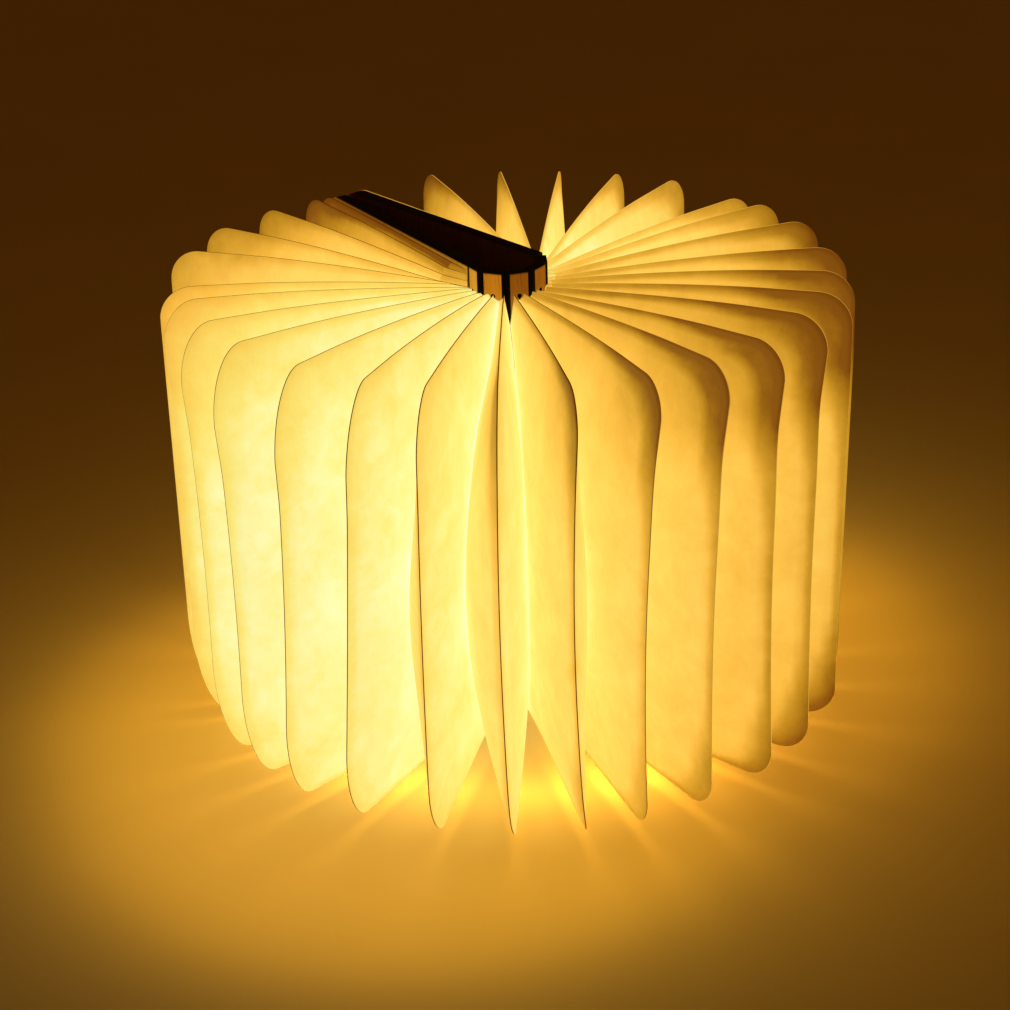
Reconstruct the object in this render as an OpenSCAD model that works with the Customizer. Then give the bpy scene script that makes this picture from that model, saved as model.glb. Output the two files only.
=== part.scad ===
// Folding book lamp: a wooden cover with a slotted spine, a fan of paper leaves
// and a light bar, standing fully opened. Hub axis vertical, covers towards +Y.

/* [Boards] */
// Height of the wooden boards
board_height = 122; // [110:1:135]
// Thickness of the wooden boards
board_thick = 3; // [2.5:0.1:3.5]
// Length of a cover from its hinge line to its fore edge
cover_length = 78; // [74:0.5:82]
// Radius of the covers' outer corners
cover_corner = 5.5; // [2:0.5:9]

/* [Spine hinge] */
// Distance between neighbouring hinge lines along the spine
hinge_pitch = 6; // [5.5:0.1:6.5]
// Width of the slit between two slats
slit_width = 1.3; // [1.2:0.05:1.5]
// Turn at each hinge line with the lamp fully opened
hinge_turn = 37.9; // [37:0.1:38.5]
// Width of the narrow slit inside each slat
inner_slit = 0.4; // [0.3:0.05:0.6]

/* [Paper] */
// Width of a leaf from its inner fold to its outer edge
leaf_width = 67; // [60:0.5:70]
// Gap between a leaf's top or bottom edge and the boards' ends
leaf_inset = 3; // [2:0.5:5]
// Thickness of a flattened leaf, two glued sheets
leaf_thick = 0.25; // [0.2:0.01:0.26]
// Radius of a leaf's outer corners
leaf_corner = 8.3; // [5:0.1:10]
// Thickness of the paper glued on each cover
end_paper = 0.2; // [0.1:0.05:0.3]

/* [Light bar] */
// Half width of the light bar
bar_half = 4.4; // [4:0.1:4.4]
// Height of the light bar's top
bar_top = 100; // [90:1:104]
// Wall thickness of the bar's shell
bar_wall = 0.7; // [0.6:0.05:0.9]

/* [Hidden] */
$fn = 48;
hub_y = 2.25;
half_t = board_thick / 2;
hub_r = hinge_pitch / (2 * sin(hinge_turn / 2));
slat_len = hinge_pitch - slit_width;
bar_back = -12.6;
bar_front = -18.9;
bar_foot = 1.5;
lug_z = [16, 56, 90];
web_z = [29, 89];
wood = [0.62, 0.40, 0.20];
paper = [0.98, 0.90, 0.68];
metal = [0.75, 0.75, 0.77];

// Everything is drawn about the hub axis, then moved so that the origin is
// under the middle of the lamp.
module hub() { translate([0, hub_y, 0]) children(); }

// Frame of a board that starts at hinge line k on the right: X runs along
// the board, -Y faces the leaves.
module right_frame(k) {
    a = hinge_turn * k;
    hub() translate([hub_r * sin(a), -hub_r * cos(a), 0])
        rotate([0, 0, hinge_turn / 2 + a]) children();
}
module left_frame(k) {
    hub() mirror([1, 0, 0]) translate([0, -hub_y, 0]) right_frame(k) children();
}

// Narrow slits with round ends, cut through the middle of a slat
module long_slits(x) {
    for (z = [[6, 59], [63, board_height - 6]]) {
        translate([x - inner_slit / 2, -half_t - 1, z[0]])
            cube([inner_slit, board_thick + 2, z[1] - z[0]]);
        for (e = z)
            translate([x, 0, e]) rotate([90, 0, 0])
                cylinder(r = 0.6, h = board_thick + 2, center = true, $fn = 24);
    }
}
module web(z) {
    translate([0, 0, z]) cylinder(r = 0.45, h = 4, $fn = 32);
    translate([-slit_width / 2 - 0.2, -0.45, z]) cube([slit_width / 2 + 0.2, 0.9, 4]);
}
// A slat next to the light bar is notched where the bar's lugs reach the slit
module slat(inner) {
    difference() {
        translate([slit_width / 2, -half_t, 0]) cube([slat_len, board_thick, board_height]);
        long_slits(hinge_pitch / 2);
        if (inner) for (z = lug_z)
            translate([slit_width / 2 - 1, -half_t - 1, z - 0.5]) cube([1.75, half_t + 0.7, 5]);
    }
    for (z = web_z) translate([hinge_pitch, 0, 0]) web(z);
}
// Rectangle with its two far corners rounded
module board_outline(x0, x1, z0, z1, r) {
    union() {
        translate([x0, z0]) square([x1 - r - x0, z1 - z0]);
        translate([x0, z0 + r]) square([x1 - x0, z1 - z0 - 2 * r]);
        for (z = [z0 + r, z1 - r]) translate([x1 - r, z]) circle(r = r, $fn = 64);
    }
}
module upright(thick) {
    rotate([90, 0, 0]) linear_extrude(height = thick, center = true) children();
}
module cover(trigger) {
    difference() {
        upright(board_thick)
            board_outline(slit_width / 2, cover_length, 0, board_height, cover_corner);
        long_slits(hinge_pitch / 2);
        for (z = [30, 92]) magnet_space(70, z, 4.1);
        if (trigger) magnet_space(9, 33, 2.1);
    }
}
module magnet_space(x, z, r) {
    translate([x, half_t - 2, z]) rotate([-90, 0, 0]) cylinder(r = r, h = 3);
}
module magnet(x, z, r) {
    translate([x, half_t - 1.95, z]) rotate([-90, 0, 0]) cylinder(r = r, h = 1.9);
}
module glued_paper() {
    translate([0, -half_t - end_paper / 2, 0]) upright(end_paper)
        board_outline(5, 74, leaf_inset + 0.5, board_height - leaf_inset - 0.5, 5);
}
// A leaf: its inner fold stands at x, y and it points away from the hub
module leaf(x, y, turn) {
    color(paper) hub() translate([x, y, 0]) rotate([0, 0, turn - 90])
        upright(leaf_thick)
            board_outline(0, leaf_width, leaf_inset, board_height - leaf_inset, leaf_corner);
}

module left_cover() { color(wood) left_frame(2) cover(false); }
module right_cover() { color(wood) right_frame(2) cover(true); }
module spine_slat_1() { color(wood) left_frame(1) slat(false); }
module spine_slat_2() { color(wood) left_frame(0) slat(true); }
module spine_slat_3() { color(wood) right_frame(0) slat(true); }
module spine_slat_4() { color(wood) right_frame(1) slat(false); }
module left_end_paper() { color(paper) left_frame(2) glued_paper(); }
module right_end_paper() { color(paper) right_frame(2) glued_paper(); }
module left_cover_magnets() {
    color(metal) left_frame(2) for (z = [30, 92]) magnet(70, z, 4);
}
module right_cover_magnets() {
    color(metal) right_frame(2) for (z = [30, 92]) magnet(70, z, 4);
}
module switch_magnet() { color(metal) right_frame(2) magnet(9, 33, 2); }

// Light bar: an open channel with three lugs that reach into the middle slit
module bar_block(x, y0, y1, z0, z1) {
    translate([-x, y1, z0]) cube([2 * x, y0 - y1, z1 - z0]);
}
module bar_housing() {
    color([0.92, 0.92, 0.90]) hub() difference() {
        union() {
            difference() {
                bar_block(bar_half, bar_back, -17.7, bar_foot, bar_top);
                bar_block(bar_half - bar_wall, bar_back - bar_wall, -19, 0, bar_top + 1);
            }
            for (z = [[bar_foot, bar_foot + 4], [bar_top - 6, bar_top]])
                translate([-1.1, -14.9, z[0]]) cube([2.2, 2, z[1] - z[0]]);
            for (z = lug_z) {
                translate([-0.45, bar_back - 0.1, z]) cube([0.9, -hub_r - bar_back + 0.1, 4]);
                translate([0, -hub_r, z]) cylinder(r = 0.45, h = 4, $fn = 32);
            }
        }
        for (z = [0, bar_top - 5]) translate([0, -14, z]) cylinder(r = 0.5, h = 6, $fn = 24);
    }
}
module bar_lens() {
    color([0.97, 0.97, 0.92, 0.7]) hub() difference() {
        bar_block(bar_half, -17.72, bar_front, bar_foot, bar_top);
        bar_block(bar_half - 0.6, -17, bar_front + 0.55, 0, bar_top + 1);
    }
}
module top_end_cap() {
    color([0.92, 0.92, 0.90]) hub() difference() {
        bar_block(bar_half, bar_back, bar_front, bar_top + 0.02, bar_top + 1);
        translate([0, -14, bar_top - 1]) cylinder(r = 0.55, h = 4, $fn = 24);
    }
}
module bottom_end_cap() {
    color([0.92, 0.92, 0.90]) hub() difference() {
        bar_block(bar_half, bar_back, bar_front, bar_foot - 1, bar_foot - 0.02);
        translate([0, -14, -1]) cylinder(r = 0.55, h = 4, $fn = 24);
        bar_block(3.55, -15.15, -17.65, -1, 4);
    }
}
module end_cap_screws() {
    color(metal) hub() {
        translate([0, -14, bar_top - 4]) cylinder(r = 0.45, h = 5.1, $fn = 24);
        translate([0, -14, bar_top + 1.02]) cylinder(r = 1, h = 0.5, $fn = 32);
        translate([0, -14, 0.4]) cylinder(r = 0.45, h = 4.6, $fn = 24);
        translate([0, -14, 0.02]) cylinder(r = 0.9, h = 0.45, $fn = 32);
    }
}
module led_board() {
    color([0.95, 0.95, 0.93]) hub() bar_block(3.6, -16.95, -17.65, 9, 98);
}
module leds() {
    color([1, 0.85, 0.35]) hub() for (i = [0 : 11])
        bar_block(1.4, -17.67, -18.2, 12 + i * 7.4, 14.6 + i * 7.4);
}
module battery() { color([0.35, 0.45, 0.60]) hub() bar_block(3.4, -14, -16.6, 40, 92); }
module battery_pad() { color([0.2, 0.2, 0.2]) hub() bar_block(3, -13.32, -13.98, 44, 88); }
module control_board() {
    color([0.10, 0.35, 0.18]) hub() bar_block(3.4, -15.2, -15.8, 6.9, 36);
}
module charge_socket() {
    color(metal) hub() difference() {
        bar_block(3.5, -15.2, -17.6, 0.6, 6.8);
        bar_block(3.1, -15.55, -17.25, -1, 5.8);
    }
}
module charge_chips() {
    color([0.1, 0.1, 0.1]) hub() for (z = [11, 18]) bar_block(1.8, -15.82, -16.8, z, z + 4);
}
module magnet_sensor() { color([0.1, 0.1, 0.1]) hub() bar_block(1.2, -15.82, -16.8, 32, 34.6); }
module battery_leads() {
    for (c = [[-1.2, [0.8, 0.1, 0.1]], [1.2, [0.1, 0.1, 0.1]]])
        color(c[1]) hub() translate([c[0], -15.5, 36.02]) cylinder(r = 0.28, h = 3.96, $fn = 24);
}
module led_leads() {
    for (c = [[-2.4, [0.8, 0.1, 0.1]], [2.4, [0.1, 0.1, 0.1]]])
        color(c[1]) hub() translate([c[0], -15.82, 27]) rotate([90, 0, 0]) cylinder(r = 0.28, h = 1.11, $fn = 24);
}

// Paper leaves, numbered from the left cover round the front to the right cover
module paper_leaf_01() { leaf(-10, 13, -184.75); }
module paper_leaf_02() { leaf(-12.5, 15.4, -184.75); }
module paper_leaf_03() { leaf(-13.8, 15.6, -173); }
module paper_leaf_04() { leaf(-15.8, 16, -159.6); }
module paper_leaf_05() { leaf(-16.6, 13.2, -144.5); }
module paper_leaf_06() { leaf(-18.2, 10, -124); }
module paper_leaf_07() { leaf(-19.2, 6.8, -117); }
module paper_leaf_08() { leaf(-19.6, 3.4, -103.5); }
module paper_leaf_09() { leaf(-19.8, -0.4, -91.4); }
module paper_leaf_10() { leaf(-19.2, -4.8, -77); }
module paper_leaf_11() { leaf(-17.8, -8.6, -63.5); }
module paper_leaf_12() { leaf(-15.6, -12, -50.4); }
module paper_leaf_13() { leaf(-12.6, -15.2, -38.4); }
module paper_leaf_14() { leaf(-9, -17.6, -26.2); }
module paper_leaf_15() { leaf(-5, -19.2, -14); }
module paper_leaf_16() { leaf(-0.8, -19.7, -1.8); }
module paper_leaf_17() { leaf(2.4, -19.5, 11.5); }
module paper_leaf_18() { leaf(7.6, -18.2, 24.5); }
module paper_leaf_19() { leaf(11.4, -16.2, 37.2); }
module paper_leaf_20() { leaf(13.8, -12.6, 50); }
module paper_leaf_21() { leaf(17, -10.2, 61.4); }
module paper_leaf_22() { leaf(19, -6.4, 76.6); }
module paper_leaf_23() { leaf(19.8, -3, 88); }
module paper_leaf_24() { leaf(20, 0, 95.2); }
module paper_leaf_25() { leaf(19.4, 4.4, 111.5); }
module paper_leaf_26() { leaf(18.4, 7.6, 124.4); }
module paper_leaf_27() { leaf(17, 10.6, 136.2); }
module paper_leaf_28() { leaf(15, 13.4, 148.9); }
module paper_leaf_29() { leaf(13.8, 16.1, 163.8); }
module paper_leaf_30() { leaf(11.2, 14.4, 184.75); }

left_cover();
right_cover();
spine_slat_1();
spine_slat_2();
spine_slat_3();
spine_slat_4();
left_end_paper();
right_end_paper();
left_cover_magnets();
right_cover_magnets();
switch_magnet();
bar_housing();
bar_lens();
top_end_cap();
bottom_end_cap();
end_cap_screws();
led_board();
leds();
battery();
battery_pad();
control_board();
charge_socket();
charge_chips();
magnet_sensor();
battery_leads();
led_leads();
paper_leaf_01();
paper_leaf_02();
paper_leaf_03();
paper_leaf_04();
paper_leaf_05();
paper_leaf_06();
paper_leaf_07();
paper_leaf_08();
paper_leaf_09();
paper_leaf_10();
paper_leaf_11();
paper_leaf_12();
paper_leaf_13();
paper_leaf_14();
paper_leaf_15();
paper_leaf_16();
paper_leaf_17();
paper_leaf_18();
paper_leaf_19();
paper_leaf_20();
paper_leaf_21();
paper_leaf_22();
paper_leaf_23();
paper_leaf_24();
paper_leaf_25();
paper_leaf_26();
paper_leaf_27();
paper_leaf_28();
paper_leaf_29();
paper_leaf_30();
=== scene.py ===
import math

import bmesh
import bpy
import numpy as np
from mathutils import Matrix, Vector


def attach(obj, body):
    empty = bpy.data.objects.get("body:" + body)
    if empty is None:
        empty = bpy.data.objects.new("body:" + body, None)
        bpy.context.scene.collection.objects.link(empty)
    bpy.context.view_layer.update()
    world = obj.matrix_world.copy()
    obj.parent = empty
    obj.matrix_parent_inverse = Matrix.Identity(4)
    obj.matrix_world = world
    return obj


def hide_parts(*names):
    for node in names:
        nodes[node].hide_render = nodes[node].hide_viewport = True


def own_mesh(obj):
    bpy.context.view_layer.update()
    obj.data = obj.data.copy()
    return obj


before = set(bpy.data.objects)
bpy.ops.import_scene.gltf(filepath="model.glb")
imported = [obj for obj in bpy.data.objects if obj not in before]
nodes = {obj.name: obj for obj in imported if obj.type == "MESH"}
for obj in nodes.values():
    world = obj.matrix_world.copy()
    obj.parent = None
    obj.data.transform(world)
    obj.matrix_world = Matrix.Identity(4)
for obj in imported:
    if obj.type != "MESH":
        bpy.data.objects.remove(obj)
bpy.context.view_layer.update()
scene = bpy.context.scene
MM = 0.001

# ---------------------------------------------------------------- camera
right = Vector((0.79933412, -0.60020334, -0.02865168))
up = Vector((0.27736865, 0.32625355, 0.9036732))
forward = Vector((0.53303996, 0.7302839, -0.42726319))
cam_data = bpy.data.cameras.new("camera")
cam = bpy.data.objects.new("camera", cam_data)
scene.collection.objects.link(cam)
rot = Matrix((right, up, -forward)).transposed()
cam.matrix_world = Matrix.Translation((-0.359191, -0.485998, 0.340175)) @ rot.to_4x4()
cam_data.sensor_width = 36
cam_data.sensor_fit = "HORIZONTAL"
cam_data.lens = 2542.19 / 1010 * 36
cam_data.clip_start = 0.01
scene.camera = cam


# ---------------------------------------------------------------- node helpers
class Mat:
    """Short way to build a node material."""

    def __init__(self, name):
        self.m = bpy.data.materials.new(name)
        self.m.use_nodes = True
        self.t = self.m.node_tree
        self.t.nodes.clear()
        self.out = self.t.nodes.new("ShaderNodeOutputMaterial")
        self.p = self.t.nodes.new("ShaderNodeBsdfPrincipled")
        self.t.links.new(self.p.outputs[0], self.out.inputs["Surface"])

    def node(self, kind, **props):
        n = self.t.nodes.new(kind)
        for k, v in props.items():
            setattr(n, k, v)
        return n

    def link(self, a, b):
        self.t.links.new(a, b)

    def put(self, socket, value):
        if hasattr(value, "is_output"):
            self.link(value, socket)
        else:
            socket.default_value = value

    def math(self, op, a, b=None, c=None, clamp=False):
        n = self.node("ShaderNodeMath", operation=op, use_clamp=clamp)
        for s, v in zip(n.inputs, (a, b, c)):
            if v is not None:
                self.put(s, v)
        return n.outputs[0]

    def vmath(self, op, a, b=None):
        n = self.node("ShaderNodeVectorMath", operation=op)
        self.put(n.inputs[0], a)
        if b is not None:
            self.put(n.inputs[1], b)
        return n.outputs["Value"] if op == "DOT_PRODUCT" else n.outputs["Vector"]

    def ramp(self, fac, stops, mode="LINEAR"):
        n = self.node("ShaderNodeValToRGB")
        n.color_ramp.interpolation = mode
        e = n.color_ramp.elements
        while len(e) > 1:
            e.remove(e[-1])
        e[0].position, e[0].color = stops[0][0], (*stops[0][1], 1)
        for pos, col in stops[1:]:
            x = e.new(pos)
            x.color = (*col, 1)
        self.put(n.inputs["Fac"], fac)
        return n.outputs["Color"]

    def mix(self, fac, a, b, blend="MIX"):
        n = self.node("ShaderNodeMix", data_type="RGBA", blend_type=blend)
        self.put(n.inputs["Factor"], fac)
        self.put(n.inputs["A"], a if hasattr(a, "is_output") else (*a, 1))
        self.put(n.inputs["B"], b if hasattr(b, "is_output") else (*b, 1))
        return n.outputs["Result"]

    def coords(self, scale=(1, 1, 1), kind="Object"):
        tc = self.node("ShaderNodeTexCoord")
        mp = self.node("ShaderNodeMapping")
        mp.inputs["Scale"].default_value = scale
        self.link(tc.outputs[kind], mp.inputs["Vector"])
        return mp.outputs["Vector"]

    def noise(self, vec, scale, detail=3.0, rough=0.5, distort=0.0):
        n = self.node("ShaderNodeTexNoise")
        n.inputs["Scale"].default_value = scale
        n.inputs["Detail"].default_value = detail
        n.inputs["Roughness"].default_value = rough
        n.inputs["Distortion"].default_value = distort
        self.link(vec, n.inputs["Vector"])
        return n.outputs["Fac"]

    def bump(self, height, strength, dist):
        n = self.node("ShaderNodeBump")
        n.inputs["Strength"].default_value = strength
        n.inputs["Distance"].default_value = dist
        self.link(height, n.inputs["Height"])
        self.link(n.outputs["Normal"], self.p.inputs["Normal"])
        return n


def srgb(r, g, b):
    return tuple(
        (c / 255 / 12.92) if c <= 10 else ((c / 255 + 0.055) / 1.055) ** 2.4
        for c in (r, g, b)
    )


# ---------------------------------------------------------------- paper
def lamp_colour(x):
    """Warm light through cream paper, brighter and brighter: red fills up first, then green, then blue."""
    red = min(0.17 + 1.5 * x, 0.99)
    green = min(0.05 + 0.87 * x, 0.99)
    blue = 0.003 + 0.22 * x * x + 1.6 * max(0.0, x - 0.85) ** 1.5
    return (red, green, blue)


GLOW = [(k / 12, lamp_colour(1.2 * k / 12)) for k in range(13)]


def paper_material():
    k = Mat("paper_lit")
    glow = k.node("ShaderNodeAttribute", attribute_name="glow").outputs["Fac"]
    band = k.node("ShaderNodeAttribute", attribute_name="band").outputs["Fac"]
    at = k.coords()
    cloud = k.noise(at, 75.0, 4.0, 0.55, 0.4)
    blot = k.noise(at, 230.0, 3.0, 0.6, 0.8)
    # long thin fibres, at two slants
    tc = k.node("ShaderNodeTexCoord").outputs["Object"]
    fib = []
    for turn, sc in (((0.5, 0.3, 0.7), (1500, 1500, 260)), ((-0.8, 0.6, -0.5), (300, 1700, 1400))):
        mp = k.node("ShaderNodeMapping")
        mp.inputs["Rotation"].default_value = turn
        mp.inputs["Scale"].default_value = sc
        k.link(tc, mp.inputs["Vector"])
        fib.append(k.noise(mp.outputs["Vector"], 1.0, 3.0, 0.6, 1.2))
    fibre = k.math("ADD", fib[0], fib[1])
    v = k.math("MULTIPLY_ADD", cloud, 0.26, -0.13)
    v = k.math("ADD", v, k.math("MULTIPLY_ADD", blot, 0.14, -0.07))
    v = k.math("ADD", v, k.math("MULTIPLY_ADD", fibre, 0.07, -0.07))
    mid = k.noise(at, 120.0, 3.0, 0.6, 1.5)
    v = k.math("ADD", v, k.math("MULTIPLY_ADD", mid, 0.16, -0.08))
    v = k.math("MULTIPLY", v, k.math("MULTIPLY_ADD", glow, 0.62, 0.38))
    level = k.math("ADD", glow, v)
    # painted shade: the glow is dimmed along the glued band, where the double sheet lets less lamp light through
    level = k.math("SUBTRACT", level, k.math("MULTIPLY", band, 0.08))
    col = k.ramp(k.math("DIVIDE", level, 1.2), GLOW)
    k.link(col, k.p.inputs["Emission Color"])
    k.p.inputs["Emission Strength"].default_value = 0.88
    base = k.ramp(cloud, [(0.25, (0.22, 0.17, 0.09)), (0.75, (0.28, 0.22, 0.12))])
    k.link(base, k.p.inputs["Base Color"])
    k.p.inputs["Roughness"].default_value = 0.62
    k.p.inputs["Specular IOR Level"].default_value = 0.25
    k.p.inputs["Sheen Weight"].default_value = 0.08
    k.bump(k.math("ADD", fibre, blot), 0.25, 0.00008)
    k.m.cycles.emission_sampling = "NONE"
    return k.m


def seam_material():
    k = Mat("paper_cut_edge")
    glow = k.node("ShaderNodeAttribute", attribute_name="glow").outputs["Fac"]
    at = k.coords()
    n = k.noise(at, 900.0, 3.0)
    col = k.mix(n, srgb(96, 56, 6), srgb(140, 88, 16))
    k.link(col, k.p.inputs["Base Color"])
    # painted shade: the glued cut edge glows far dimmer than the faces; rim lifts it to the faces' glow where that edge
    # is lit
    em = k.ramp(glow, [(0.0, srgb(40, 20, 2)), (1.0, srgb(112, 66, 8))])
    rim = k.node("ShaderNodeAttribute", attribute_name="rim").outputs["Fac"]
    light = k.ramp(k.math("DIVIDE", k.math("MULTIPLY_ADD", glow, 0.72, 0.26), 1.2), GLOW)
    em = k.mix(rim, em, light)
    k.link(em, k.p.inputs["Emission Color"])
    k.p.inputs["Emission Strength"].default_value = 0.8
    k.p.inputs["Roughness"].default_value = 0.85
    k.bump(n, 0.2, 0.00005)
    k.m.cycles.emission_sampling = "NONE"
    return k.m


# leaf: parent distance not needed here; inner fold x, y and direction (mm, hub frame)
HUB_Y = 2.25
LEAVES = [
    (-10.0, 13.0, -184.75), (-12.5, 15.4, -184.75), (-13.8, 15.6, -173.0), (-15.8, 16.0, -159.6),
    (-16.6, 13.2, -144.5), (-18.2, 10.0, -124.0), (-19.2, 6.8, -117.0), (-19.6, 3.4, -103.5),
    (-19.8, -0.4, -91.4), (-19.2, -4.8, -77.0), (-17.8, -8.6, -63.5), (-15.6, -12.0, -50.4),
    (-12.6, -15.2, -38.4), (-9.0, -17.6, -26.2), (-5.0, -19.2, -14.0), (-0.8, -19.7, -1.8),
    (2.4, -19.5, 11.5), (7.6, -18.2, 24.5), (11.4, -16.2, 37.2), (13.8, -12.6, 50.0),
    (17.0, -10.2, 61.4), (19.0, -6.4, 76.6), (19.8, -3.0, 88.0), (20.0, 0.0, 95.2),
    (19.4, 4.4, 111.5), (18.4, 7.6, 124.4), (17.0, 10.6, 136.2), (15.0, 13.4, 148.9),
    (13.8, 16.1, 163.8), (11.2, 14.4, 184.75),
]
# how far each leaf's outer edge leans sideways, at the top and at the foot, and its width there (mm)
LEAN = {
    1: (0.6, -0.5), 2: (-1.0, 0.6), 3: (-0.6, 2.6), 4: (-0.1, 1.8), 5: (1.1, 0.4), 6: (-0.3, -0.3), 7: (-1.5, 3.4),
    8: (-0.6, 1.4), 9: (2.2, -3.6), 10: (3.4, -4.2), 11: (0.6, -0.7), 12: (0.5, 0.5), 13: (0.2, 0.0),
    14: (1.7, -2.8), 15: (2.0, -3.1), 16: (2.0, -0.7), 17: (2.4, -4.4), 18: (-0.1, -2.6), 19: (-3.0, -1.0),
    20: (-1.6, 0.5), 21: (-1.0, 0.8), 22: (0.1, 0.0), 23: (-1.0, -0.5), 24: (-0.5, -3.0), 25: (-0.9, -4.0),
    26: (-0.2, 0.8), 27: (-0.3, 3.4), 28: (0.7, 4.2), 29: (-0.5, -0.6),
}
# sideways bow of the outer edge at mid height (mm)
BOW = {7: 0.8, 8: 0.6, 9: 0.6, 10: -0.3, 11: -0.9, 12: -1.1, 13: -1.7, 14: -1.8, 15: -1.3, 16: -1.1, 17: -0.8, 18: -0.9, 19: -0.6}
# how far the bottom tip curls sideways (mm)
CURL = {10: 0.6, 11: 1.0, 12: 1.3, 13: 1.6, 14: 0.3}
# how far the top of a leaf reaches beyond the usual width (mm)
GROW = {2: 2.2, 3: 2.8, 4: 3.1, 18: 1.4, 19: 1.8, 20: 1.1, 21: 1.7, 22: 1.3, 23: 0.5, 24: 1.6, 25: 0.8, 28: 1.4}
CORNERS = {6: 9.0, 7: 9.2, 8: 9.5, 9: 9.5, 10: 9.5, 11: 10.0, 12: 10.5, 13: 10.0, 14: 9.0, 15: 8.8, 16: 8.8, 17: 8.8}
CORNER_TALL = {6: 12.0, 7: 16.0, 8: 20.0, 9: 22.0, 10: 21.0, 11: 15.0, 12: 12.0, 13: 11.0}
NL = len(LEAVES)
WIDTH, Z0, Z1, CORNER = 67.0, 3.0, 119.0, 8.3
Q = [np.array([x, y]) for x, y, _ in LEAVES]
TH = [math.radians(d) for _, _, d in LEAVES]
D = [np.array([math.sin(a), -math.cos(a)]) for a in TH]
N = [np.array([math.cos(a), math.sin(a)]) for a in TH]
rng = np.random.default_rng(7)
jit = np.clip(rng.normal(0, 1, (NL, 6)), -1.8, 1.8)


def reach(i):
    """How far leaf i's top runs in past its fold, towards the hub (mm)."""
    x = abs((i - 14.5) * 0.48)
    if x < 4.9:
        return 19.6 - (10.8 + 0.325 * x) - 0.45
    return 19.6 - (11.97 + 1.376 * max(0.0, x - 4.5)) - 0.45


EXT = [reach(i) for i in range(NL)]


def lateral(i, s, z):
    """Sideways offset of leaf i's plane (mm)."""
    t = (z - Z0) / (Z1 - Z0)
    top, foot = LEAN.get(i, (0.0, 0.0))
    out = np.clip(s / WIDTH, 0, 1.05)
    w = out**1.3 * (foot + (top - foot) * t) + ROOT.get(i, 0.0) * np.clip(1 - s / WIDTH, 0, 1)
    w = w + BOW.get(i, 0.0) * np.sin(np.pi * np.clip(t, 0, 1)) * out**2
    w = w + CURL.get(i, 0.0) * np.exp(-np.clip(z - Z0, 0, None) / 4.0) * out**2
    return w


def plane(i, s, z):
    s, z = np.asarray(s, float), np.asarray(z, float)
    w = lateral(i, s, z)
    xy = Q[i][None, :] + s[:, None] * D[i][None, :] + w[:, None] * N[i][None, :]
    return np.column_stack([xy, z])


# seam line (top edge from the hub outwards, outer edge down, bottom edge back in)
RIDGE_TOP = 119.8


RIDGE = {0: (121.55, 0.4), 1: (121.0, 1.1), 2: (120.3, 2.2), 23: (119.3, 2.8), 29: (120.85, 0.5)}
ROOT = {0: -0.35, 1: -1.5, 2: -1.0, 25: -1.4, 26: -1.4, 27: -2.4}            # sideways shift at the hub end (mm)


def ridge_z(i, s):
    """Height of leaf i's glued top edge: low at the hub, level further out (mm)."""
    top, drop = RIDGE.get(i, (RIDGE_TOP, 2.9))
    u = np.clip((np.asarray(s, float) + EXT[i]) / (46.0 + EXT[i]), 0, 1)
    return top - drop * (1 - u) ** 1.6


def seam_curve(i, count):
    """Points s, z along leaf i's glued edge, from the hub at the top to the hub at the foot."""
    pts, tight = [], []
    ext, c, top = EXT[i], CORNERS.get(i, 8.6), RIDGE.get(i, (RIDGE_TOP, 0))[0]
    tall = {3: 14.0, 4: 20.0, 5: 24.0, 6: 24.0, 7: 25.0, 8: 24.0, 9: 22.0, 10: 20.0, 11: 14.0}.get(i, CORNER)
    far = WIDTH + GROW.get(i, 0.0)

    dip = {4: 0.0, 5: 0.0, 18: 0.2, 19: 0.0}.get(i, 1.1)
    v = CORNER_TALL.get(i, c)

    def edge(z):
        u = (z - Z0) / (Z1 - Z0)
        tuck = 0.55 * math.exp(-(((z - 96.0) / 12.0) ** 2)) if 13 < i < 18 else 0.0
        return WIDTH + (far - WIDTH) * np.clip(u * 1.25, 0, 1) - dip * math.sin(math.pi * np.clip(u, 0, 1)) - tuck

    for s in np.linspace(-ext, far - c, 60):
        pts.append((s, float(ridge_z(i, s))))
        tight.append(1.0)
    for a in np.linspace(0, 90, 24)[1:]:
        r = math.radians(a)
        pts.append((far - c + c * math.sin(r), top - v + v * math.cos(r)))
        tight.append(3.2)
    drop = far - edge(top - v)
    for z in np.linspace(top - v, Z0 + tall, 60)[1:]:
        pts.append((edge(z) + drop * max(0.0, 1 - (top - v - z) / 12.0), z))
        tight.append(1.0)
    w0 = edge(Z0 + tall)
    for a in np.linspace(90, 180, 24)[1:]:
        r = math.radians(a)
        pts.append((w0 - CORNER + CORNER * math.sin(r), Z0 + tall + tall * math.cos(r)))
        tight.append(3.0)
    for s in np.linspace(w0 - CORNER, 0.4, 50)[1:]:
        u = s / (w0 - CORNER)
        pts.append((s, Z0 + 1.6 * (1 - u) ** 1.7))
        tight.append(1.0)
    p = np.array(pts)
    step = np.hypot(*np.diff(p, axis=0).T)
    arc = np.r_[0, np.cumsum(step)]
    busy = np.r_[0, np.cumsum(step * np.array(tight)[1:])]
    at = np.interp(np.linspace(0, busy[-1], count), busy, arc)
    return np.column_stack([np.interp(at, arc, p[:, k]) for k in range(2)]), at / arc[-1]


def resample(p, at):
    """Points of the line p at these shares of its length."""
    d = np.r_[0, np.cumsum(np.hypot(*np.diff(p, axis=0).T))]
    t = np.asarray(at) * d[-1]
    return np.column_stack([np.interp(t, d, p[:, k]) for k in range(p.shape[1])])


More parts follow.
